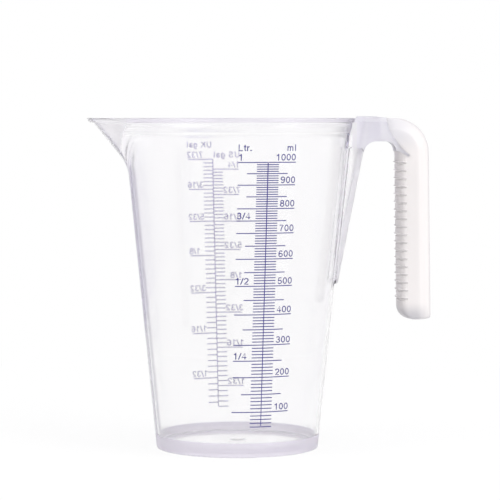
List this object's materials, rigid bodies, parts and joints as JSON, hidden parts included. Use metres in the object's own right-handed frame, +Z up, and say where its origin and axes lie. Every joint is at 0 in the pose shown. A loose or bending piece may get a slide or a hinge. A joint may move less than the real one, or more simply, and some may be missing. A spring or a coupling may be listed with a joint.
{
  "type": "measuring jug",
  "caption": "Tapered clear plastic measuring jug with a pouring spout, a ribbed open-ended handle and printed scales in litres and gallons.",
  "frame": {"origin": "centre of the base, on the table", "axes": "+Z up along the jug's axis, +X towards the handle, -X towards the spout, the litre scale faces -Y"},
  "size_m": [0.1745, 0.1208, 0.1689],
  "materials": {
    "clear_plastic": "clear glossy moulded polypropylene with a faint violet tint",
    "soft_grip": "off-white soft satin grip",
    "front_ink": "dark blue print",
    "back_ink": "dark blue print, seen through the jug"
  },
  "bodies": {
    "root": {"jug_body": "clear_plastic", "handle_grip": "soft_grip", "front_scale_line": "front_ink", "front_litre_marks": "front_ink", "front_millilitre_marks": "front_ink", "back_scale_line": "back_ink", "back_uk_gallon_marks": "back_ink", "back_us_gallon_marks": "back_ink"}
  },
  "joints": []
}
